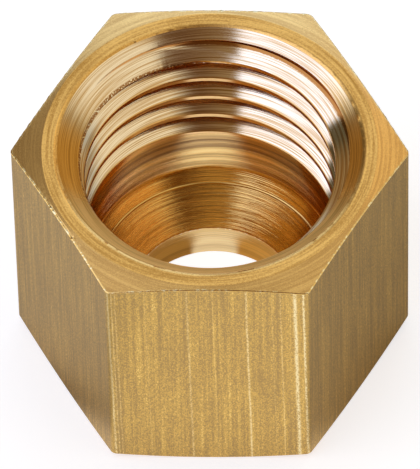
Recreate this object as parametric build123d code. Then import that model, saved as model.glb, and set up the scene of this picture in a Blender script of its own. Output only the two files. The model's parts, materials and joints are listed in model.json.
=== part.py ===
from build123d import *

# Compression nut for 8 mm tube, turned in one piece from drawn hexagon brass bar.
# It stands on the end that the tube enters, with its threaded mouth up. The axis is Z, the origin is
# the middle of the lower end face, and two of the six flats face -Y and +Y. Lengths are in millimetres.

import os
from math import radians, sqrt, tan

# Tube and thread that the nut is made for
TUBE_DIAMETER = 8.0
TUBE_CLEARANCE = 0.2
THREAD_DIAMETER = 14.0
THREAD_PITCH = 1.5

# Hexagon bar
WALL_AT_FLATS = 1.5
BAR_EDGE_RADIUS = 0.35
NUT_HEIGHT = 14.5

# End faces: a flat ring for seating, and outside it a shallow cone that takes the bar's corners down
END_RING_SETBACK = 0.25
END_RELIEF_ANGLE = 13.0

# Lead-in of the threaded mouth
MOUTH_OVERSIZE = 0.575
MOUTH_CONE_ANGLE = 100.0

# Inside, from the tube's end up: bore, seat for the ferrule, shoulder and ferrule chamber
TUBE_BORE_LENGTH = 2.05
SEAT_CONE_ANGLE = 90.0
SEAT_SHARE_OF_STEP = 0.78
SHOULDER_CONE_ANGLE = 60.0

# Worked out from the sizes above
ACROSS_FLATS = THREAD_DIAMETER + 2 * WALL_AT_FLATS
CORNER_RADIUS = ACROSS_FLATS / sqrt(3)
END_RING_RADIUS = ACROSS_FLATS / 2 - END_RING_SETBACK
THREAD_DEPTH = 5 / 8 * sqrt(3) / 2 * THREAD_PITCH
CHAMBER_RADIUS = THREAD_DIAMETER / 2 - THREAD_DEPTH
MOUTH_RADIUS = THREAD_DIAMETER / 2 + MOUTH_OVERSIZE
TUBE_BORE_RADIUS = (TUBE_DIAMETER + TUBE_CLEARANCE) / 2
SEAT_RADIUS = TUBE_BORE_RADIUS + SEAT_SHARE_OF_STEP * (CHAMBER_RADIUS - TUBE_BORE_RADIUS)


def cone_height(small_radius, large_radius, cone_angle):
    """Height over which a cone of this included angle opens from one radius to the other."""
    return (large_radius - small_radius) / tan(radians(cone_angle / 2))


def turned(*section):
    """Solid of revolution about Z from the (radius, height) corners of half a section."""
    return revolve(make_face(Plane.XZ * Polyline(*section, close=True)), Axis.Z)


def hexagon_blank():
    """Length of drawn bar, with the slightly rounded edges that the die leaves along it."""
    hexagon = RegularPolygon(ACROSS_FLATS / 2, side_count=6, major_radius=False)
    return extrude(fillet(hexagon.vertices(), BAR_EDGE_RADIUS), NUT_HEIGHT)


def end_envelope():
    """Turned outline that relieves both ends: the bar is cut to what lies inside it."""
    relief = (CORNER_RADIUS - END_RING_RADIUS) * tan(radians(END_RELIEF_ANGLE))
    return turned(
        (0, 0),
        (END_RING_RADIUS, 0),
        (CORNER_RADIUS, relief),
        (CORNER_RADIUS, NUT_HEIGHT - relief),
        (END_RING_RADIUS, NUT_HEIGHT),
        (0, NUT_HEIGHT),
    )


def inner_space():
    """What is bored out: tube bore, ferrule seat, shoulder, chamber at the thread's core size, and mouth."""
    seat_top = TUBE_BORE_LENGTH + cone_height(TUBE_BORE_RADIUS, SEAT_RADIUS, SEAT_CONE_ANGLE)
    shoulder_top = seat_top + cone_height(SEAT_RADIUS, CHAMBER_RADIUS, SHOULDER_CONE_ANGLE)
    mouth_foot = NUT_HEIGHT - cone_height(CHAMBER_RADIUS, MOUTH_RADIUS, MOUTH_CONE_ANGLE)
    return turned(
        (0, 0),
        (TUBE_BORE_RADIUS, 0),
        (TUBE_BORE_RADIUS, TUBE_BORE_LENGTH),
        (SEAT_RADIUS, seat_top),
        (CHAMBER_RADIUS, shoulder_top),
        (CHAMBER_RADIUS, mouth_foot),
        (MOUTH_RADIUS, NUT_HEIGHT),
        (0, NUT_HEIGHT),
    )


compression_nut = (hexagon_blank() & end_envelope()) - inner_space()

os.makedirs("parts", exist_ok=True)
export_step(compression_nut, "parts/compression_nut.step")
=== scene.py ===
import json
import math

import bmesh
import bpy
import numpy as np
from mathutils import Matrix, Vector, noise


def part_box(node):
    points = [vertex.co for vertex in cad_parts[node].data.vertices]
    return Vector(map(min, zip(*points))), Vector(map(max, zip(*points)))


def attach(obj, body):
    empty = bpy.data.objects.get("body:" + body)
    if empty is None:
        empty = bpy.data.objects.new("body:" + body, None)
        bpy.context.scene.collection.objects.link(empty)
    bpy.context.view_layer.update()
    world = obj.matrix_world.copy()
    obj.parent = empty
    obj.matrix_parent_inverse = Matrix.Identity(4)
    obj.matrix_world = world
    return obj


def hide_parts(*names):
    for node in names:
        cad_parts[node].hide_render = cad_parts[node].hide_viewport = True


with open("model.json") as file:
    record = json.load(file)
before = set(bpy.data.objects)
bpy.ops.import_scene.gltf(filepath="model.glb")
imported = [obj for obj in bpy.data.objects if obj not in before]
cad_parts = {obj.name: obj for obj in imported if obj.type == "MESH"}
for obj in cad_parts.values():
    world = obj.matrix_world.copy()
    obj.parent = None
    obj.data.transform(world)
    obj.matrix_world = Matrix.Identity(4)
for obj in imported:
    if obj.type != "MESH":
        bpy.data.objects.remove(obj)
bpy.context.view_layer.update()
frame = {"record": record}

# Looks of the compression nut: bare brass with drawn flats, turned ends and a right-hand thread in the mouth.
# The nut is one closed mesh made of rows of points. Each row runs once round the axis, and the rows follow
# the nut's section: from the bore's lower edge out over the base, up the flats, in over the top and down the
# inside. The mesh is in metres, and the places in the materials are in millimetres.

MM = 0.001
NODE = "compression_nut"
MOUNTS = {mount["name"]: mount["dims"] for mount in frame["record"]["mounts"]}

# Sizes read from the frame
LOW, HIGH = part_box(NODE)
ACROSS_FLATS = HIGH.y - LOW.y
HEIGHT = HIGH.z - LOW.z
CORE_RADIUS = MOUNTS["union_thread"]["r_mm"] * MM
BORE_RADIUS = MOUNTS["tube_bore"]["r_mm"] * MM
BORE_LENGTH = MOUNTS["tube_bore"]["length_mm"] * MM

# Bar and ends
BAR_EDGE_RADIUS = 0.35 * MM
END_RING_RADIUS = ACROSS_FLATS / 2 - 0.25 * MM
RELIEF_SLOPE = math.tan(math.radians(13.0))
EDGE_BREAK = 0.05 * MM

# Burr on the top's outer edge: the angle in degrees where it is strongest, how far that reaches, and what
# it adds there
BURR_ANGLE = 210.0
BURR_REACH = 30.0
BURR_EXTRA = 2.0

# Thread: M14 x 1.5, and the lead-in cone at its mouth. Turns count upwards from the first groove's place on
# the far wall, so those further down are negative.
THREAD_RADIUS = 7.0 * MM
THREAD_PITCH = 1.5 * MM
THREAD_DEPTH = THREAD_RADIUS - CORE_RADIUS
CREST_FLAT = 0.25 * MM
FLANK_SLOPE = math.tan(math.radians(30.0))
ROOT_FLAT = THREAD_PITCH - CREST_FLAT - 2 * THREAD_DEPTH * FLANK_SLOPE
MOUTH_RADIUS = THREAD_RADIUS + 0.575 * MM
CONE_SLOPE = math.tan(math.radians(50.0))
CONE_OFFSET = MOUTH_RADIUS - CONE_SLOPE * HEIGHT
CONE_FOOT = (CORE_RADIUS - CONE_OFFSET) / CONE_SLOPE
BRIM = HEIGHT - 1.5 * EDGE_BREAK
FIRST_GROOVE_HEIGHT = HEIGHT - 0.45 * MM
FIRST_GROOVE_ANGLE = math.radians(90.0)
FULL_DEPTH_TURN = -4.15
LAST_TURN = -4.85
RUN_OUT_POWER = 1.5
THREAD_FLOOR = 5.5 * MM
THREAD_BLOCKS = range(-1, 7)

# Edges of the crests: their break, the smooth strip above it, and the tear and burr of the first crest, with
# the turns that it lies further down and its reach in turns
CREST_BREAK = 0.035 * MM
CREST_HOLD = 0.16 * MM
CREST_TEAR = 0.04 * MM
CREST_BURR = 0.08 * MM
FIRST_CREST_TURN = 0.85
FIRST_CREST_REACH = 0.25

# Most that an edge's break and strip take of the crest's width, and its lip of the flank
BREAK_LIMIT = 0.25
HOLD_LIMIT = 0.4
LIP_LIMIT = 0.45

# Nick in the cone where the thread's first turn runs out: its end and fading in turns, the height left of the
# groove's root where it starts, its depth, and the drop and bite of its four corners
NICK_END = 0.18
NICK_FADE = 0.12
NICK_START = 0.06 * MM
NICK_DEPTH = 0.08 * MM
NICK = ((-0.03 * MM, 0.0), (0.0, NICK_DEPTH), (0.03 * MM, NICK_DEPTH), (0.08 * MM, 0.0))

# Ferrule chamber, shoulder and seat
SEAT_RADIUS = BORE_RADIUS + 0.78 * (CORE_RADIUS - BORE_RADIUS)
SEAT_TOP = BORE_LENGTH + (SEAT_RADIUS - BORE_RADIUS)
SHOULDER_TOP = SEAT_TOP + (CORE_RADIUS - SEAT_RADIUS) / math.tan(math.radians(30.0))
SEAT_LIP = 0.025 * MM

# Seeds of the noise along the edges
BURR_SEED = 3.0
MOUTH_SEED = 11.0
CREST_BREAK_SEED = 20.0
CREST_TEAR_SEED = 40.0
CREST_BURR_SEED = 60.0

# Columns of the mesh along one of the six sides, and what counts as joined, thin and creased
CORNER_COLUMNS = 9
SIDE_COLUMNS = 131
JOIN_DISTANCE = 0.0002 * MM
THIN_DISTANCE = 0.0001 * MM
CREASE_ANGLE = math.radians(9.0)

MATERIALS = ("drawn_flat", "turned_end", "bored_inside", "burred_edge")

# Draw lines on the front flat, coloured brighter as painted highlights, and near its left edge painted
# highlights alone: place across it at mid height, half width and strength. They lean a little.
DRAW_LINES_AND_HIGHLIGHTS = (
    (4.75, 0.11, 1.0),
    (4.33, 0.17, 1.0),
    (3.62, 0.05, 0.5),
    (3.2, 0.04, 0.3),
    (1.95, 0.09, 0.8),
    (0.3, 0.04, 0.3),
    (-0.95, 0.09, 0.6),
    (-3.0, 0.04, 0.3),
    (-4.45, 0.06, 0.5),
    (-4.62, 0.06, 0.6),
    (-4.8, 0.10, 0.8),
)
DRAW_LINE_LEAN = 0.013
DRAW_LINE_WANDER = 0.05

# The boring tool's feed left fine saw-toothed ridges, whose long sides lean up by about this much. On the
# shoulder they lean more, as the light on it in the photograph shows.
RIDGE_LIFT = 0.14
SHOULDER_LIFT = 0.43

# Heights in millimetres between which the look changes: from thread to chamber, into the neck below the
# thread at its top and foot, where it is darkened as painted shade, and into the first groove, whose root is
# painted with darker shade
DEEP_HEIGHTS = (7.4, 6.8)
NECK_TOP = (7.2, 7.0)
NECK_FOOT = (6.05, 6.25)
FIRST_ROOT = (12.9, 13.2)

# Camera, fitted to the photograph's outline
PHOTO_HEIGHT = 469
CAMERA_AZIMUTH = 1.914
CAMERA_ELEVATION = 54.46
CAMERA_ROLL = -1.394
CAMERA_FOCAL_PIXELS = 10199.0
PIXELS_PER_METRE = 20148.8
AIM_RIGHT_PIXELS = -1.61
AIM_UP_PIXELS = -0.25
SENSOR = 36.0


def outline():
    """Angle and radius of the hexagon's outline at each column, with the bar's rounded corners."""
    centre = (ACROSS_FLATS / 2 - BAR_EDGE_RADIUS) / math.cos(math.pi / 6)
    turn = math.pi / 3
    spin = np.array([[math.cos(turn), -math.sin(turn)], [math.sin(turn), math.cos(turn)]])
    points = []
    for side in range(6):
        corner = side * math.pi / 3
        middle = centre * np.array([math.cos(corner), math.sin(corner)])
        for bend in np.linspace(-math.pi / 6, math.pi / 6, CORNER_COLUMNS):
            way = np.array([math.cos(corner + bend), math.sin(corner + bend)])
            points.append(middle + BAR_EDGE_RADIUS * way)
        start = points[-1]
        end = spin @ points[-CORNER_COLUMNS]
        for step in range(1, SIDE_COLUMNS + 1):
            points.append(start + (end - start) * step / (SIDE_COLUMNS + 1))
    points = np.array(points)
    angle = np.unwrap(np.arctan2(points[:, 1], points[:, 0]))
    return angle, np.hypot(points[:, 0], points[:, 1])


ANGLE, OUT_RADIUS = outline()
COLUMNS = len(ANGLE)
RELIEF = (OUT_RADIUS - END_RING_RADIUS) * RELIEF_SLOPE


def ripple(frequency, seed):
    """Smooth noise from -1 to 1 along the columns, by the place on the outline in millimetres."""
    places = np.column_stack([OUT_RADIUS * np.cos(ANGLE), OUT_RADIUS * np.sin(ANGLE)]) / MM
    return np.array([noise.noise(Vector((x * frequency, y * frequency, seed))) for x, y in places])


def ragged(seed, frequency, sharpness):
    """Noise from 0 to 1 with separate peaks, as torn metal has along an edge."""
    fine = ripple(3 * frequency, seed + 7.3)
    return np.clip(ripple(frequency, seed) + 0.35 * fine, 0, 1) ** sharpness


class Section:
    """Rows of points, each with its mark of the torn crest and with the material of the strip that follows
    it.
    """

    def __init__(self):
        self.rows = []
        self.torn_mark = []
        self.looks = []

    def add(self, radius, height, look, torn_mark=0.0):
        radius = np.broadcast_to(radius, COLUMNS)
        height = np.broadcast_to(height, COLUMNS)
        self.rows.append(np.column_stack([radius * np.cos(ANGLE), radius * np.sin(ANGLE), height]))
        self.torn_mark.append(np.broadcast_to(torn_mark, COLUMNS))
        self.looks.append(MATERIALS.index(look))


def add_base(section):
    """Lower end: the bore's edge, the flat ring and the relief out to the flats."""
    section.add(BORE_RADIUS, EDGE_BREAK, "burred_edge")
    section.add(BORE_RADIUS + 0.3 * EDGE_BREAK, 0.3 * EDGE_BREAK, "burred_edge")
    section.add(BORE_RADIUS + EDGE_BREAK, 0, "turned_end")
    section.add((BORE_RADIUS + END_RING_RADIUS) / 2, 0, "turned_end")
    section.add(END_RING_RADIUS, 0, "turned_end")
    section.add((END_RING_RADIUS + OUT_RADIUS) / 2, RELIEF / 2, "turned_end")
    section.add(OUT_RADIUS - EDGE_BREAK, RELIEF - EDGE_BREAK * RELIEF_SLOPE, "burred_edge")
    section.add(OUT_RADIUS - 0.3 * EDGE_BREAK, RELIEF + 0.15 * EDGE_BREAK, "burred_edge")


def add_flats(section):
    """The six drawn flats and the rounded edges between them."""
    low = RELIEF + EDGE_BREAK
    high = HEIGHT - RELIEF - EDGE_BREAK
    section.add(OUT_RADIUS, low, "drawn_flat")
    section.add(OUT_RADIUS, (low + high) / 2, "drawn_flat")
    section.add(OUT_RADIUS, high, "burred_edge")


def add_top(section):
    """Upper end: the burred outer edge, the relief, the flat ring and the mouth's edge."""
    off = (np.degrees(ANGLE) % 360 - BURR_ANGLE) / BURR_REACH
    strong = 1 + BURR_EXTRA * np.exp(-off ** 2)
    burr = EDGE_BREAK * strong * (0.6 + 1.6 * ragged(BURR_SEED, frequency=3.2, sharpness=1.3))
    tears = EDGE_BREAK * 1.2 * ragged(MOUTH_SEED, frequency=1.7, sharpness=2.0)
    edge = HEIGHT - RELIEF
    burr_height = edge - 0.3 * EDGE_BREAK + 0.3 * burr
    section.add(OUT_RADIUS - 0.2 * EDGE_BREAK + 0.3 * burr, burr_height, "burred_edge")
    section.add(OUT_RADIUS - EDGE_BREAK - 0.5 * burr, edge + EDGE_BREAK * RELIEF_SLOPE, "turned_end")
    section.add((END_RING_RADIUS + OUT_RADIUS) / 2, HEIGHT - RELIEF / 2, "turned_end")
    section.add(END_RING_RADIUS, HEIGHT, "turned_end")
    section.add((END_RING_RADIUS + MOUTH_RADIUS) / 2, HEIGHT, "turned_end")
    section.add(MOUTH_RADIUS + 2 * EDGE_BREAK, HEIGHT, "turned_end")
    section.add(MOUTH_RADIUS + EDGE_BREAK, HEIGHT - 0.2 * EDGE_BREAK, "turned_end")
    section.add(MOUTH_RADIUS - 0.6 * tears, HEIGHT - 0.6 * EDGE_BREAK + 0.6 * tears, "turned_end")


def wall_radius(height):
    """Radius of the bored wall before threading: the core size, and the lead-in cone near the mouth."""
    return np.maximum(CORE_RADIUS, CONE_OFFSET + CONE_SLOPE * height)


def groove(turn):
    """Heights and radii of the four corners of the thread's groove, from its upper edge down, at each column.

    The tool leaves the metal over the last turn, so the groove gets shallow there. Near the mouth the cone
    cuts off its upper corners, and where the cone has cut it off whole, all four lie on the cone.
    """
    share = np.clip((turn - LAST_TURN) / (FULL_DEPTH_TURN - LAST_TURN), 0, 1)
    depth = THREAD_DEPTH * share ** RUN_OUT_POWER
    middle = FIRST_GROOVE_HEIGHT + THREAD_PITCH * turn
    root = CORE_RADIUS + depth
    root_top = middle + ROOT_FLAT / 2
    root_foot = middle - ROOT_FLAT / 2
    top = root_top + depth * FLANK_SLOPE
    foot = root_foot - depth * FLANK_SLOPE
    rise = 1 / FLANK_SLOPE
    top_on_cone = (root + rise * root_top - CONE_OFFSET) / (rise + CONE_SLOPE)
    foot_on_cone = (CONE_OFFSET - root + rise * root_foot) / (rise - CONE_SLOPE)
    top = np.where(top > CONE_FOOT, top_on_cone, top)
    foot = np.where(foot > CONE_FOOT, foot_on_cone, foot)
    cone_meets_root = (root - CONE_OFFSET) / CONE_SLOPE
    cut = cone_meets_root < root_top
    top = np.where(cut, cone_meets_root, top)
    root_top = np.where(cut, cone_meets_root, root_top)
    gone = cone_meets_root <= root_foot
    heights = [np.where(gone, root_foot, height) for height in (top, root_top, root_foot, foot)]
    radii = [wall_radius(top), root, root, wall_radius(foot)]
    radii = [np.where(gone, wall_radius(root_foot), radius) for radius in radii]
    return nicked(turn, cone_meets_root, root_foot, heights, radii)


def nicked(turn, cone_meets_root, root_foot, heights, radii):
    """The groove's corners, drawn over to those of the nick where the groove is almost gone."""
    share = np.clip(1 - (cone_meets_root - root_foot) / NICK_START, 0, 1) * (turn < NICK_END)
    fading = np.clip((NICK_END - turn) / NICK_FADE, 0, 1)
    for corner, (drop, bite) in enumerate(NICK):
        height = cone_meets_root - drop
        radius = wall_radius(height) + bite * fading
        heights[corner] = heights[corner] + (height - heights[corner]) * share
        radii[corner] = radii[corner] + (radius - radii[corner]) * share
    return heights, radii


def add_wall(section, radius, height, torn_mark=0.0):
    """Row on the threaded wall. Columns outside the thread's span close up on the brim or the floor."""
    inside = (height < BRIM) & (height > THREAD_FLOOR)
    clipped = np.clip(height, THREAD_FLOOR, BRIM)
    section.add(np.where(inside, radius, wall_radius(clipped)), clipped, "bored_inside", torn_mark)


def lip_past(edge, root, torn):
    """Height and radius of the flank just past a crest's broken edge."""
    flank = np.hypot(edge[0] - root[0], edge[1] - root[1])
    share = np.minimum(LIP_LIMIT, torn / np.maximum(flank, torn))
    return [at_edge + (at_root - at_edge) * share for at_edge, at_root in zip(edge, root)]


def rounded(edge, lip, beside):
    """Height and radius of a broken edge, half way from the sharp edge to between the rows beside it."""
    return [0.5 * sharp + 0.25 * (one + other) for sharp, one, other in zip(edge, lip, beside)]


def add_torn_edge(section, upper, root_top, hold, torn, first_crest):
    """Crest's edge above the groove. On the first crest it is torn, with a ragged burr."""
    tear = CREST_TEAR * (0.5 + 0.5 * ripple(5.0, CREST_TEAR_SEED))
    edge = upper[0] + tear * first_crest
    edge_radius = np.where(upper[1] < root_top[1], wall_radius(edge), upper[1])
    above = np.minimum(edge + torn, 0.9 * hold + 0.1 * edge)
    lip = lip_past(upper, root_top, torn)
    burr = CREST_BURR * ragged(CREST_BURR_SEED, frequency=4.5, sharpness=1.0) * first_crest
    height, radius = rounded((edge, edge_radius), lip, (above, wall_radius(above)))
    add_wall(section, wall_radius(above), above, first_crest)
    add_wall(section, radius - burr, height + 0.5 * burr, first_crest)
    add_wall(section, lip[1], lip[0])


def add_plain_edge(section, lower, root_foot, torn):
    """Crest's edge below the groove."""
    lip = lip_past(lower, root_foot, torn)
    below = lower[0] - torn
    height, radius = rounded(lower, lip, (below, wall_radius(below)))
    add_wall(section, lip[1], lip[0])
    add_wall(section, radius, height)
    add_wall(section, wall_radius(below), below)


def add_turn(section, block):
    """Rows of one turn: the crest's land, its lower edge, the groove, and the next crest's upper edge."""
    turn = (ANGLE - FIRST_GROOVE_ANGLE) / (2 * math.pi) - block
    above = groove(turn + 1)[0][3]
    upper, root_top, root_foot, lower = zip(*groove(turn))
    first_crest = np.clip(1 - abs(turn + FIRST_CREST_TURN) / FIRST_CREST_REACH, 0, 1)
    gap = np.maximum(above - upper[0], 0)
    hold = upper[0] + np.minimum(CREST_HOLD, HOLD_LIMIT * gap)
    cone_ends = (CONE_FOOT > hold) & (CONE_FOOT < above)
    land = np.where(cone_ends, CONE_FOOT, 0.5 * (hold + above))
    uneven = ragged(CREST_BREAK_SEED + block, frequency=4.0, sharpness=1.5)
    torn = CREST_BREAK * (0.4 + 0.6 * uneven + first_crest)
    torn = np.minimum(torn, BREAK_LIMIT * gap)
    add_wall(section, wall_radius(land), land)
    add_wall(section, wall_radius(hold), hold)
    add_torn_edge(section, upper, root_top, hold, torn, first_crest)
    add_wall(section, root_top[1], root_top[0])
    add_wall(section, root_foot[1], root_foot[0])
    add_plain_edge(section, lower, root_foot, torn)


def add_thread(section):
    """Lead-in cone and thread. Returns the first and last row, and the number of rows in a turn."""
    first = len(section.rows)
    section.add(wall_radius(BRIM), BRIM, "bored_inside")
    for block in THREAD_BLOCKS:
        add_turn(section, block)
    last = len(section.rows)
    rows_in_turn = (last - first - 1) // len(THREAD_BLOCKS)
    section.add(CORE_RADIUS, THREAD_FLOOR, "bored_inside")
    return first, last, rows_in_turn


def add_chamber(section):
    """Ferrule chamber, shoulder, seat and tube bore."""
    step = EDGE_BREAK
    shoulder_step = (CORE_RADIUS - SEAT_RADIUS) / (SHOULDER_TOP - SEAT_TOP) * step
    section.add(CORE_RADIUS, SHOULDER_TOP + step, "bored_inside")
    section.add(CORE_RADIUS - shoulder_step, SHOULDER_TOP - step, "bored_inside")
    section.add(SEAT_RADIUS + shoulder_step, SEAT_TOP + step, "bored_inside")
    section.add(SEAT_RADIUS - SEAT_LIP, SEAT_TOP + 0.5 * step, "bored_inside")
    section.add(SEAT_RADIUS - step, SEAT_TOP - step, "bored_inside")
    section.add((SEAT_RADIUS + BORE_RADIUS) / 2, (SEAT_TOP + BORE_LENGTH) / 2, "bored_inside")
    section.add(BORE_RADIUS + step, BORE_LENGTH + step, "burred_edge")
    section.add(BORE_RADIUS + 0.2 * step, BORE_LENGTH, "burred_edge")
    section.add(BORE_RADIUS, BORE_LENGTH - step, "bored_inside")
    section.add(BORE_RADIUS, BORE_LENGTH / 2, "bored_inside")


def strip_faces(count, first, last, rows_in_turn):
    """Corners of the faces between each row and the next, and from the last row back to the first one."""

    def partner(row):
        """Row of the first column that meets this row of the last one: the thread is one turn on by then."""
        return max(first, row - rows_in_turn) if first < row < last else row

    faces = []
    for row in range(count):
        below = (row + 1) % count
        for column in range(COLUMNS - 1):
            here, under = row * COLUMNS + column, below * COLUMNS + column
            faces.append((here, under, under + 1, here + 1))
        here, under = row * COLUMNS + COLUMNS - 1, below * COLUMNS + COLUMNS - 1
        faces.append((here, under, partner(below) * COLUMNS, partner(row) * COLUMNS))
    return faces


def unrolled_map(rows):
    """Map of the same faces: across it is the way round the nut, and up it the way along the section."""
    lengths = np.linalg.norm(np.roll(rows, -1, axis=0) - rows, axis=2).mean(axis=1)
    along = np.concatenate([[0], np.cumsum(lengths)]) / lengths.sum()
    corners = []
    for low, high in zip(along[:-1], along[1:]):
        for column in range(COLUMNS):
            left, right = column / COLUMNS, (column + 1) / COLUMNS
            corners += [left, low, left, high, right, high, right, low]
    return corners


def nut_mesh():
    """One closed mesh of the whole nut, with its materials by row, its map and its mark of the torn crest."""
    section = Section()
    add_base(section)
    add_flats(section)
    add_top(section)
    thread_rows = add_thread(section)
    add_chamber(section)
    rows = np.array(section.rows)
    mesh = bpy.data.meshes.new("compression_nut_brass")
    mesh.from_pydata(rows.reshape(-1, 3).tolist(), [], strip_faces(len(rows), *thread_rows))
    mesh.polygons.foreach_set("material_index", np.repeat(section.looks, COLUMNS).tolist())
    mesh.uv_layers.new(name="OFBake").data.foreach_set("uv", unrolled_map(rows))
    mesh.attributes.new("torn_mark", "FLOAT", "POINT").data.foreach_set("value", np.concatenate(section.torn_mark))
    close_up(mesh)
    return mesh


def close_up(mesh):
    """Joins points that lie on one another, drops thin faces, turns all faces outwards and marks creases."""
    work = bmesh.new()
    work.from_mesh(mesh)
    bmesh.ops.remove_doubles(work, verts=work.verts, dist=JOIN_DISTANCE)
    bmesh.ops.dissolve_degenerate(work, edges=work.edges, dist=THIN_DISTANCE)
    bmesh.ops.recalc_face_normals(work, faces=work.faces)
    for face in work.faces:
        face.smooth = True
    burr = MATERIALS.index("burred_edge")
    for edge in work.edges:
        looks = {face.material_index for face in edge.link_faces}
        edge.smooth = looks == {burr} or (len(looks) == 1 and edge.calc_face_angle(0.0) < CREASE_ANGLE)
    work.to_mesh(mesh)
    work.free()


class Graph:
    """Adds nodes to a node tree, with sockets given as values or as other nodes' outputs."""

    def __init__(self, tree):
        self.tree = tree
        tree.nodes.clear()

    def node(self, kind, inputs=(), **settings):
        """Adds a node with these settings, and feeds its inputs."""
        node = self.tree.nodes.new(kind)
        for name, value in settings.items():
            setattr(node, name, value)
        for name, value in dict(inputs).items():
            self.feed(node.inputs[name], value)
        return node

    def feed(self, socket, value):
        """Links an output to a socket, or sets the socket's value."""
        if isinstance(value, bpy.types.NodeSocket):
            self.tree.links.new(value, socket)
        else:
            socket.default_value = value

    def math(self, operation, *values):
        return self.node("ShaderNodeMath", enumerate(values), operation=operation).outputs[0]

    def weigh(self, *parts):
        """Sum of (value, weight) pairs."""
        total = 0.0
        for value, weight in parts:
            total = self.math("ADD", total, self.math("MULTIPLY", value, weight))
        return total

    def product(self, *values):
        """All the values multiplied together."""
        result = values[0]
        for value in values[1:]:
            result = self.math("MULTIPLY", result, value)
        return result

    def vector(self, operation, *values):
        node = self.node("ShaderNodeVectorMath", enumerate(values), operation=operation)
        return node.outputs["Value" if operation in ("DOT_PRODUCT", "LENGTH") else "Vector"]

    def step(self, value, low, high, to_low=0.0, to_high=1.0):
        """Smooth step of a value from one level to another."""
        levels = {"Value": value, "From Min": low, "From Max": high, "To Min": to_low, "To Max": to_high}
        return self.node("ShaderNodeMapRange", levels, interpolation_type="SMOOTHSTEP").outputs["Result"]

    def spread(self, value, low, high):
        """A 0 to 1 value spread between two levels."""
        levels = {"Value": value, "To Min": low, "To Max": high}
        return self.node("ShaderNodeMapRange", levels).outputs["Result"]

    def noise(self, vector, scale, detail=3.0, roughness=0.55):
        inputs = {"Vector": vector, "Scale": scale, "Detail": detail, "Roughness": roughness}
        return self.node("ShaderNodeTexNoise", inputs).outputs["Fac"]

    def blend(self, share, first, second):
        """Colour between two others."""
        node = self.node("ShaderNodeMix", data_type="RGBA")
        self.feed(node.inputs[0], share)
        self.feed(node.inputs[6], first)
        self.feed(node.inputs[7], second)
        return node.outputs[2]


def colour(red, green, blue):
    return (red, green, blue, 1.0)


def grey(level):
    return colour(level, level, level)


# Colours of the flats and the painted highlight colours of their draw lines. In each pair of tones, the
# darker one comes first.
FLAT_TONES = (colour(0.45, 0.295, 0.11), colour(0.73, 0.475, 0.13))
FLAT_BRIGHT = colour(0.97, 0.71, 0.24)
LINE_HIGHLIGHT_TONES = (colour(1.0, 0.68, 0.19), colour(1.0, 0.87, 0.52))

# Colours of the ends, the painted highlight that makes their relief paler, and the colours of the burrs
END_TONES = (colour(0.52, 0.265, 0.055), colour(0.96, 0.58, 0.165))
RELIEF_HIGHLIGHT_TINT = colour(0.80, 0.51, 0.19)
RELIEF_HIGHLIGHT_SHARE = 0.35
BURR_TONES = (colour(0.84, 0.55, 0.18), colour(1.0, 0.83, 0.44))

# Colours of the inside. The bright flank tones are partly painted highlight; the neck tones, the root and
# nick browns and the tear's dark tone are painted shade, and the tear's bright tone painted glints.
CREST_TONES = (colour(0.62, 0.36, 0.11), colour(0.87, 0.56, 0.21))
CHAMBER_TONES = (colour(0.50, 0.31, 0.09), colour(0.90, 0.60, 0.19))
NECK_SHADE_TONES = (colour(0.26, 0.15, 0.05), colour(0.58, 0.36, 0.12))
SEAT_TONES = (colour(0.62, 0.38, 0.11), colour(0.84, 0.54, 0.16))
FLANK_AND_HIGHLIGHT_TONES = (colour(0.62, 0.39, 0.16), colour(0.98, 0.83, 0.57))
CONE_TONES = (colour(0.58, 0.32, 0.07), colour(0.88, 0.53, 0.15))
TEAR_SHADE_AND_GLINT_TONES = (colour(0.34, 0.15, 0.04), colour(1.0, 0.86, 0.54))
ROOT_SHADE_BROWN = colour(0.68, 0.37, 0.13)
FIRST_ROOT_SHADE_BROWN = colour(0.44, 0.19, 0.045)
NICK_SHADE_BROWN = colour(0.70, 0.36, 0.12)


class Brass(Graph):
    """A brass finish: places in millimetres, and a metal shader to which patterns are linked."""

    def __init__(self, name):
        self.material = bpy.data.materials.new(name)
        self.material.use_nodes = True
        super().__init__(self.material.node_tree)
        spot = self.node("ShaderNodeTexCoord").outputs["Object"]
        self.place = self.vector("MULTIPLY", spot, (1 / MM, 1 / MM, 1 / MM))
        self.x, self.y, self.z = self.node("ShaderNodeSeparateXYZ", {0: self.place}).outputs[:3]
        flat = self.vector("MULTIPLY", self.place, (1.0, 1.0, 0.0))
        self.radius = self.vector("LENGTH", flat)
        self.way = self.vector("NORMALIZE", flat)

    def streaks(self, stretch, scale, detail=3.0, roughness=0.55):
        """Noise drawn out along the bar, the more the smaller the stretch value is."""
        place = self.vector("MULTIPLY", self.place, (1.0, 1.0, stretch))
        return self.noise(place, scale, detail, roughness)

    def rings(self, across, scale, arc):
        """Noise in rings round the axis: fine across them, and long along the arc."""
        line = self.node("ShaderNodeCombineXYZ", {"Z": across}).outputs[0]
        bend = self.vector("MULTIPLY", self.way, (arc, arc, 0.0))
        return self.noise(self.vector("ADD", line, bend), scale)

    def finish(self, base, roughness, height, depth, anisotropy, turn, lift=0.0):
        """Metal with a relief of this depth in millimetres. Lift leans its normals up."""
        relief = {"Height": height, "Distance": depth * MM, "Strength": 1.0}
        bump = self.node("ShaderNodeBump", relief).outputs[0]
        up = self.node("ShaderNodeCombineXYZ", {"Z": lift}).outputs[0]
        bump = self.vector("NORMALIZE", self.vector("ADD", bump, up))
        tangent = self.node("ShaderNodeTangent", direction_type="RADIAL", axis="Z").outputs[0]
        shader = self.node("ShaderNodeBsdfPrincipled", {
            "Base Color": base, "Roughness": roughness, "Normal": bump, "Tangent": tangent,
            "Metallic": 1.0, "Anisotropic": anisotropy, "Anisotropic Rotation": turn})
        self.node("ShaderNodeOutputMaterial", {"Surface": shader.outputs[0]})
        return self.material


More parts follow.
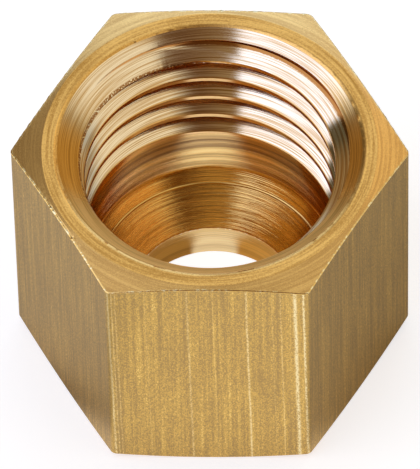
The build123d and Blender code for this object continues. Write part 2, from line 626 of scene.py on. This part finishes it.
def draw_lines_and_highlights(g, texture):
    """Strength of the draw lines and painted highlights on the front flat. They wander a little and the
    texture breaks them up.
    """
    above_middle = g.math("SUBTRACT", g.z, HEIGHT / MM / 2)
    slant = g.math("ADD", g.x, g.math("MULTIPLY", above_middle, DRAW_LINE_LEAN))
    wander = g.noise(g.vector("MULTIPLY", g.place, (0.2, 0.2, 1.0)), scale=0.6)
    slant = g.math("ADD", slant, g.spread(wander, -DRAW_LINE_WANDER, DRAW_LINE_WANDER))
    lines_and_highlights = 0.0
    for across, half_width, strength in DRAW_LINES_AND_HIGHLIGHTS:
        off = g.math("ABSOLUTE", g.math("SUBTRACT", slant, across))
        lines_and_highlights = g.math("MAXIMUM", lines_and_highlights, g.step(off, half_width, 0.1 * half_width, 0.0, strength))
    # The painted highlights lie on the front flat only.
    front = -ACROSS_FLATS / MM / 2
    on_front = g.step(g.y, front + 0.3, front + 0.1)
    broken = g.step(texture, 0.42, 0.54, 0.35, 1.0)
    return g.product(lines_and_highlights, on_front, broken)


def drawn_flat():
    """Flats as the drawing die left them: dull gold with a fine grain, streaks and lines along the bar, the
    lines on the front flat painted bright as highlights.
    """
    g = Brass("drawn_flat")
    patch = g.streaks(stretch=0.15, scale=1.6)
    streak = g.streaks(stretch=0.012, scale=7.0, roughness=0.65)
    grain = g.streaks(stretch=0.6, scale=19.0, detail=1.0)
    tone = g.weigh((patch, 0.16), (streak, 0.36), (grain, 0.48))
    texture = g.weigh((streak, 0.4), (grain, 0.6))
    base = g.blend(g.step(tone, 0.40, 0.60), *FLAT_TONES)
    base = g.blend(g.step(tone, 0.58, 0.68), base, FLAT_BRIGHT)
    lines_and_highlights = draw_lines_and_highlights(g, texture)
    # Painted highlights: along the draw lines the front flat is coloured brighter.
    base = g.blend(lines_and_highlights, base, g.blend(lines_and_highlights, *LINE_HIGHLIGHT_TONES))
    roughness = g.spread(tone, 0.46, 0.30)
    return g.finish(base, roughness, texture, depth=0.005, anisotropy=0.3, turn=0.0)


def turned_end():
    """End faces with the fine rings of a facing cut and a slight grain, and the relief painted paler as a
    highlight.
    """
    g = Brass("turned_end")
    rings = g.rings(g.radius, scale=7.0, arc=0.25)
    grain = g.noise(g.place, scale=13.0, detail=2.0, roughness=0.7)
    tone = g.weigh((rings, 0.62), (grain, 0.38))
    base = g.blend(g.step(tone, 0.34, 0.66), *END_TONES)
    # Painted highlight: the relief is blended paler.
    relief = g.step(g.radius, END_RING_RADIUS / MM - 0.02, END_RING_RADIUS / MM + 0.04)
    base = g.blend(g.math("MULTIPLY", relief, RELIEF_HIGHLIGHT_SHARE), base, RELIEF_HIGHLIGHT_TINT)
    roughness = g.spread(tone, 0.32, 0.2)
    return g.finish(base, roughness, tone, depth=0.006, anisotropy=0.3, turn=0.25)


def wall_colour(g, shade, ridge, deep):
    """Golden bored wall: the crests, the chamber and the neck above it, darkened as painted shade, and the
    shoulder and seat.
    """
    wall = g.blend(shade, *CREST_TONES)
    wall = g.blend(deep, wall, g.blend(ridge, *CHAMBER_TONES))
    # Painted shade: the neck below the thread is darker.
    in_shaded_neck = g.product(g.step(g.z, *NECK_FOOT), g.step(g.z, *NECK_TOP))
    wall = g.blend(in_shaded_neck, wall, g.blend(ridge, *NECK_SHADE_TONES))
    below_chamber = g.step(g.z, SHOULDER_TOP / MM + 0.1, SHOULDER_TOP / MM - 0.1)
    return g.blend(below_chamber, wall, g.blend(ridge, *SEAT_TONES))


def thread_colour(g, wall, lit, grain, cut, cone, past_cone):
    """Cream flanks over the wall, partly painted highlight; the cone golden towards the camera and cream on
    its far side as painted highlight; and roots and nick painted brown as shade.
    """
    # Painted highlight: the flanks and the cone's far side are coloured cream.
    flank = g.blend(lit, *FLANK_AND_HIGHLIGHT_TONES)
    cone_with_far_highlight = g.blend(g.step(g.y, 0.0, 5.0), g.blend(lit, *CONE_TONES), flank)
    base = g.blend(cone, g.blend(cut, wall, flank), cone_with_far_highlight)
    # Painted shade: the thread's roots are coloured brown, the first groove's root darker.
    frayed = g.math("ADD", g.radius, g.spread(grain, -0.06, 0.06))
    in_shaded_root = g.step(frayed, THREAD_RADIUS / MM - 0.17, THREAD_RADIUS / MM - 0.12)
    in_shaded_root = g.product(in_shaded_root, g.math("SUBTRACT", 1.0, cone))
    root = g.blend(g.step(g.z, *FIRST_ROOT), ROOT_SHADE_BROWN, FIRST_ROOT_SHADE_BROWN)
    base = g.blend(in_shaded_root, base, root)
    # Painted shade: the nick in the cone is coloured brown.
    into_cone = g.step(past_cone, CONE_OFFSET / MM + 0.02, CONE_OFFSET / MM + 0.05)
    in_shaded_nick = g.product(into_cone, g.step(g.z, HEIGHT / MM - 0.6, HEIGHT / MM - 0.57))
    return g.blend(in_shaded_nick, base, NICK_SHADE_BROWN)


def torn_shade_and_glints(g, base, grain):
    """The first crest's torn edge: a dark brown line of painted shade with bright beads of painted glint,
    where the mesh marks the torn crest.
    """
    torn_mark = g.node("ShaderNodeAttribute", attribute_name="torn_mark").outputs["Fac"]
    uneven = g.noise(g.place, scale=5.0, detail=2.0)
    # Painted shade and painted glints along the torn edge.
    torn = g.product(g.step(torn_mark, 0.1, 0.45), g.step(uneven, 0.26, 0.38))
    return g.blend(torn, base, g.blend(g.step(grain, 0.54, 0.64), *TEAR_SHADE_AND_GLINT_TONES))


def ridge_lift(g, deep, cone):
    """How far the ridges lean up: on cone and seat, more on the shoulder, and half on other deep walls."""
    seat_foot = BORE_LENGTH / MM
    seat_top = SEAT_TOP / MM
    shoulder_top = SHOULDER_TOP / MM
    above_bore = g.step(g.z, seat_foot - 0.1, seat_foot + 0.1)
    on_seat = g.product(above_bore, g.step(g.z, seat_top + 0.5, seat_top))
    above_seat = g.step(g.z, seat_top, seat_top + 0.1)
    on_shoulder = g.product(above_seat, g.step(g.z, shoulder_top + 0.1, shoulder_top - 0.3))
    lift = g.math("MULTIPLY", deep, g.spread(on_seat, RIDGE_LIFT / 2, RIDGE_LIFT))
    lift = g.math("MAXIMUM", lift, g.math("MULTIPLY", on_shoulder, SHOULDER_LIFT))
    return g.math("MAXIMUM", lift, g.math("MULTIPLY", cone, RIDGE_LIFT))


def bored_inside():
    """Bored and tapped inside: golden walls with the ridges of the tool's feed, and thread flanks painted
    paler, partly as highlights.
    """
    g = Brass("bored_inside")
    across = g.math("ADD", g.radius, g.z)
    coarse = g.rings(across, scale=2.6, arc=0.1)
    rings = g.rings(across, scale=5.0, arc=0.15)
    fine = g.rings(across, scale=14.0, arc=0.1)
    grain = g.noise(g.place, scale=12.0, detail=2.0, roughness=0.7)
    tone = g.weigh((rings, 0.55), (fine, 0.45))
    shade = g.step(g.weigh((tone, 0.8), (grain, 0.2)), 0.35, 0.65)
    ridge = g.step(g.weigh((coarse, 0.65), (fine, 0.35)), 0.38, 0.60)
    lit = g.step(g.weigh((rings, 0.3), (fine, 0.7)), 0.40, 0.58)
    cut = g.step(g.radius, CORE_RADIUS / MM + 0.02, CORE_RADIUS / MM + 0.08)
    past_cone = g.math("SUBTRACT", g.radius, g.math("MULTIPLY", g.z, CONE_SLOPE))
    cone = g.step(g.math("ABSOLUTE", g.math("SUBTRACT", past_cone, CONE_OFFSET / MM)), 0.06, 0.03)
    deep = g.step(g.z, *DEEP_HEIGHTS)
    wall = wall_colour(g, shade, ridge, deep)
    base = torn_shade_and_glints(g, thread_colour(g, wall, lit, grain, cut, cone, past_cone), grain)
    on_flank = g.product(cut, g.math("SUBTRACT", 1.0, cone))
    roughness = g.product(g.spread(tone, 0.16, 0.07), g.spread(on_flank, 1.0, 0.8))
    dull = g.spread(g.step(g.y, -1.5, -4.5), 0.05, 0.38)
    roughness = g.math("ADD", roughness, g.math("MULTIPLY", cone, dull))
    height = g.math("MULTIPLY", tone, g.spread(deep, 0.8, 2.4))
    lift = ridge_lift(g, deep, cone)
    return g.finish(base, roughness, height, depth=0.01, anisotropy=0.4, turn=0.25, lift=lift)


def burred_edge():
    """Edges with a bright torn burr."""
    g = Brass("burred_edge")
    grain = g.noise(g.place, scale=6.0)
    base = g.blend(g.step(grain, 0.5, 0.62), *BURR_TONES)
    roughness = g.spread(grain, 0.15, 0.3)
    return g.finish(base, roughness, grain, depth=0.015, anisotropy=0.0, turn=0.0)


def build_nut():
    nut = bpy.data.objects.new("compression_nut_brass", nut_mesh())
    bpy.context.scene.collection.objects.link(nut)
    finishes = {"drawn_flat": drawn_flat, "turned_end": turned_end, "bored_inside": bored_inside,
                "burred_edge": burred_edge}
    for name in MATERIALS:
        nut.data.materials.append(finishes[name]())
    even = nut.modifiers.new("flat_faces_stay_flat", "WEIGHTED_NORMAL")
    even.keep_sharp = True
    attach(nut, "root")
    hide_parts(NODE)


# Floor: its colour and size, and its own light as the camera sees it, round the nut and through the bore
FLOOR_SIZE = 3.0
FLOOR_DROP = 0.01 * MM
FLOOR_WHITE = colour(0.67, 0.63, 0.51)
FLOOR_GLOW = colour(0.60, 0.62, 0.67)
BORE_GLOW = grey(0.9)
BLACK = grey(0.0)

# Light of the floor as the metal sees it, with places in millimetres from the axis. Under the bore there is a
# bluish white stripe with a warm glow beside it. The chamber reflects the near part of the stripe, which
# narrows backwards, and the bore reflects the far part, which widens again.
STRIPE_HALF_WIDTH = 1.18
STRIPE_TAPER = 0.37
STRIPE_EDGE = 0.2
FAR_STRIPE_SPAN = (2.5, 4.1)
FAR_STRIPE_HALF_WIDTHS = (0.36, 1.11)
FAR_PART = (1.9, 2.7)
CHAMBER_GLOW = colour(0.90, 0.97, 1.3)
BORE_METAL_GLOW = colour(0.86, 1.03, 1.8)
WARM = colour(1.0, 0.40, 0.05)
PALE = colour(1.0, 0.70, 0.35)
SIDES_SPAN = (-0.6, 0.6)
WARM_LEFT_TO_RIGHT = (0.32, 0.16)
PALE_LEFT_TO_RIGHT = (0.22, 0.46)

# Round the nut the floor is full in front, and weaker behind, on the left, and on the right near the nut.
# Each span says where a part begins and where it is full, in y for front and back and in x for the sides.
FRONT_GLOW = grey(0.56)
BACK_SHARE = 0.7
LEFT_SHARE = 0.34
RIGHT_SHARE = 0.2
FRONT_SPAN = (2.0, -12.0)
FRONT_LEFT_SPAN = (-7.4, -6.0)
FRONT_RIGHT_SPAN = (7.0, 5.0)
FAR_FRONT_SPAN = (-9.0, -16.0)
LEFT_SPAN = (-7.4, -9.0)
BACK_SPAN = (8.0, 16.0)

# Dome: its even level, and the dark gap over the camera. The gap's sides are slopes x / -y of the direction,
# and they are called after the side of the mouth where they show. The left side has one place and softness
# for light from lower down and one for light from high up. The gap is darker towards its left side.
DOME_LEVEL = grey(0.45)
DARK_RIGHT = -0.40
DARK_RIGHT_EDGE = 0.04
DARK_LEFT = (0.92, 0.85)
DARK_LEFT_EDGE = (0.10, 0.45)
DARK_HIGH = (0.82, 0.88)
DARK_FRONT = (-0.05, -0.2)
DARK_COLOUR_SPAN = (DARK_RIGHT, 0.5)
DARK_COLOURS = (colour(0.27, 0.18, 0.095), colour(0.155, 0.088, 0.05))

# Areas of the dome: direction, angle of the full part, angle where it ends, and light
DOME_AREAS = {
    "back": ((0.03, 0.85, 0.5), 18.0, 38.0, colour(1.06, 1.33, 2.0)),
    "overhead": ((0.0, 0.5, 0.87), 8.0, 30.0, colour(0.86, 0.88, 0.92)),
    "left": ((-0.62, -0.25, 0.74), 25.0, 35.0, colour(1.28, 1.38, 1.95)),
    "right": ((0.62, -0.22, 0.75), 20.0, 38.0, colour(0.87, 0.81, 0.71)),
    "left_back_gap": ((-0.42, 0.60, 0.68), 11.0, 22.0, colour(0.30, 0.275, 0.26)),
    "left_low_gap": ((-0.71, 0.50, 0.49), 15.5, 19.0, colour(0.10, 0.085, 0.055)),
    "right_back": ((0.40, 0.60, 0.69), 10.0, 20.0, colour(0.92, 0.80, 0.62)),
    "left_side": ((-0.95, 0.04, 0.27), 12.0, 22.0, colour(1.25, 1.25, 1.25)),
    "right_side": ((0.95, 0.04, 0.27), 12.0, 22.0, colour(0.9, 0.9, 0.9)),
    "left_low": ((-0.80, 0.58, 0.15), 14.0, 26.0, colour(0.30, 0.20, 0.10)),
    "right_low": ((0.80, 0.58, 0.15), 14.0, 26.0, colour(0.51, 0.36, 0.17)),
}


def under_bore(g, x, y):
    """Light that the metal gets from the floor under the bore: the stripe, and the glow on both sides."""
    near_half_width = g.math("SUBTRACT", STRIPE_HALF_WIDTH, g.math("MULTIPLY", y, STRIPE_TAPER))
    far_half_width = g.step(y, *FAR_STRIPE_SPAN, *FAR_STRIPE_HALF_WIDTHS)
    half_width = g.math("MAXIMUM", near_half_width, far_half_width)
    past_edge = g.math("SUBTRACT", g.math("ABSOLUTE", x), half_width)
    stripe = g.step(past_edge, STRIPE_EDGE, -STRIPE_EDGE)
    far = g.step(y, *FAR_PART)
    chamber_sides = g.blend(g.step(x, *SIDES_SPAN, *WARM_LEFT_TO_RIGHT), BLACK, WARM)
    bore_sides = g.blend(g.step(x, *SIDES_SPAN, *PALE_LEFT_TO_RIGHT), BLACK, PALE)
    beside = g.blend(far, chamber_sides, bore_sides)
    return g.blend(stripe, beside, g.blend(far, CHAMBER_GLOW, BORE_METAL_GLOW))


def round_nut(g, x, y):
    """Light that the metal gets from the floor round the nut."""
    front = g.product(g.step(y, *FRONT_SPAN), g.step(x, *FRONT_LEFT_SPAN))
    right = g.step(x, *FRONT_RIGHT_SPAN, RIGHT_SHARE, 1.0)
    front = g.product(front, g.math("MAXIMUM", right, g.step(y, *FAR_FRONT_SPAN)))
    share = g.math("MAXIMUM", front, g.step(x, *LEFT_SPAN, 0.0, LEFT_SHARE))
    share = g.math("MAXIMUM", share, g.step(y, *BACK_SPAN, 0.0, BACK_SHARE))
    return g.blend(share, BLACK, FRONT_GLOW)


def floor_light(g):
    """Light of the floor: even for the camera, and for the metal uneven, as its reflections show."""
    path = g.node("ShaderNodeLightPath").outputs
    seen = g.math("MAXIMUM", path["Is Camera Ray"], path["Is Transmission Ray"])
    spot = g.vector("MULTIPLY", g.node("ShaderNodeTexCoord").outputs["Object"], (1 / MM, 1 / MM, 0.0))
    x, y, _ = g.node("ShaderNodeSeparateXYZ", {0: spot}).outputs[:3]
    bore = g.step(g.vector("LENGTH", spot), BORE_RADIUS / MM + 0.3, BORE_RADIUS / MM - 0.1)
    by_metal = g.blend(bore, round_nut(g, x, y), under_bore(g, x, y))
    by_camera = g.blend(bore, FLOOR_GLOW, BORE_GLOW)
    return g.blend(seen, g.blend(path["Is Glossy Ray"], BLACK, by_metal), by_camera)


def build_floor():
    mesh = bpy.data.meshes.new("floor")
    half = FLOOR_SIZE / 2
    corners = [(x, y, -FLOOR_DROP) for x, y in ((-half, -half), (half, -half), (half, half), (-half, half))]
    mesh.from_pydata(corners, [], [(0, 1, 2, 3)])
    floor = bpy.data.objects.new("floor", mesh)
    bpy.context.scene.collection.objects.link(floor)
    material = bpy.data.materials.new("floor_white")
    material.use_nodes = True
    g = Graph(material.node_tree)
    matt = g.node("ShaderNodeBsdfDiffuse", {"Color": FLOOR_WHITE}).outputs[0]
    glow = g.node("ShaderNodeEmission", {"Color": floor_light(g)}).outputs[0]
    together = g.node("ShaderNodeAddShader", {0: matt, 1: glow}).outputs[0]
    g.node("ShaderNodeOutputMaterial", {"Surface": together})
    mesh.materials.append(material)


def dark_gap(g, way):
    """Share and light of the dark gap over the camera. Its left side is soft high up."""
    x, y, z = g.node("ShaderNodeSeparateXYZ", {0: way}).outputs[:3]
    forward = g.math("MAXIMUM", g.math("MULTIPLY", y, -1.0), 0.001)
    side = g.math("DIVIDE", x, forward)
    high = g.step(z, *DARK_HIGH)
    left = g.spread(high, *DARK_LEFT)
    soft = g.spread(high, *DARK_LEFT_EDGE)
    from_right = g.step(side, DARK_RIGHT - DARK_RIGHT_EDGE, DARK_RIGHT + DARK_RIGHT_EDGE)
    from_left = g.step(side, g.math("ADD", left, soft), g.math("SUBTRACT", left, soft))
    dark = g.product(from_right, from_left, g.step(y, *DARK_FRONT))
    return dark, g.blend(g.step(side, *DARK_COLOUR_SPAN), *DARK_COLOURS)


def build_dome():
    """Studio dome: an even level with brighter and darker areas, and a dark gap where the camera stands."""
    world = bpy.data.worlds.new("studio")
    world.use_nodes = True
    bpy.context.scene.world = world
    g = Graph(world.node_tree)
    way = g.node("ShaderNodeTexCoord").outputs["Generated"]
    light = DOME_LEVEL
    for direction, full, end, area_light in DOME_AREAS.values():
        near = g.vector("DOT_PRODUCT", way, Vector(direction).normalized())
        share = g.step(near, math.cos(math.radians(end)), math.cos(math.radians(full)))
        light = g.blend(share, light, area_light)
    dark, dark_light = dark_gap(g, way)
    light = g.blend(dark, light, dark_light)
    path = g.node("ShaderNodeLightPath").outputs
    light = g.blend(path["Is Camera Ray"], light, grey(1.0))
    lit = g.node("ShaderNodeBackground", {"Color": light}).outputs[0]
    g.node("ShaderNodeOutputWorld", {"Surface": lit})


def build_camera():
    """Camera with the photograph's direction, tilt, distance and framing."""
    azimuth, elevation, roll = (math.radians(a) for a in (CAMERA_AZIMUTH, CAMERA_ELEVATION, CAMERA_ROLL))
    across = math.cos(elevation)
    back = Vector((math.sin(azimuth) * across, -math.cos(azimuth) * across, math.sin(elevation)))
    level = Vector((0, 0, 1)).cross(back).normalized()
    upright = back.cross(level)
    right = math.cos(roll) * level + math.sin(roll) * upright
    up = math.cos(roll) * upright - math.sin(roll) * level
    aim = Vector((0, 0, HEIGHT / 2)) + (AIM_RIGHT_PIXELS * right + AIM_UP_PIXELS * up) / PIXELS_PER_METRE
    data = bpy.data.cameras.new("camera")
    data.sensor_width = SENSOR
    data.lens = CAMERA_FOCAL_PIXELS * SENSOR / PHOTO_HEIGHT
    data.clip_start = 1 * MM
    camera = bpy.data.objects.new("camera", data)
    bpy.context.scene.collection.objects.link(camera)
    place = aim + back * CAMERA_FOCAL_PIXELS / PIXELS_PER_METRE
    camera.matrix_world = Matrix.Translation(place) @ Matrix((right, up, back)).transposed().to_4x4()
    bpy.context.scene.camera = camera


build_nut()
build_floor()
build_dome()
build_camera()
bpy.context.scene.view_settings.view_transform = "Standard"
bpy.context.scene.cycles.max_bounces = 16
bpy.context.scene.cycles.glossy_bounces = 12
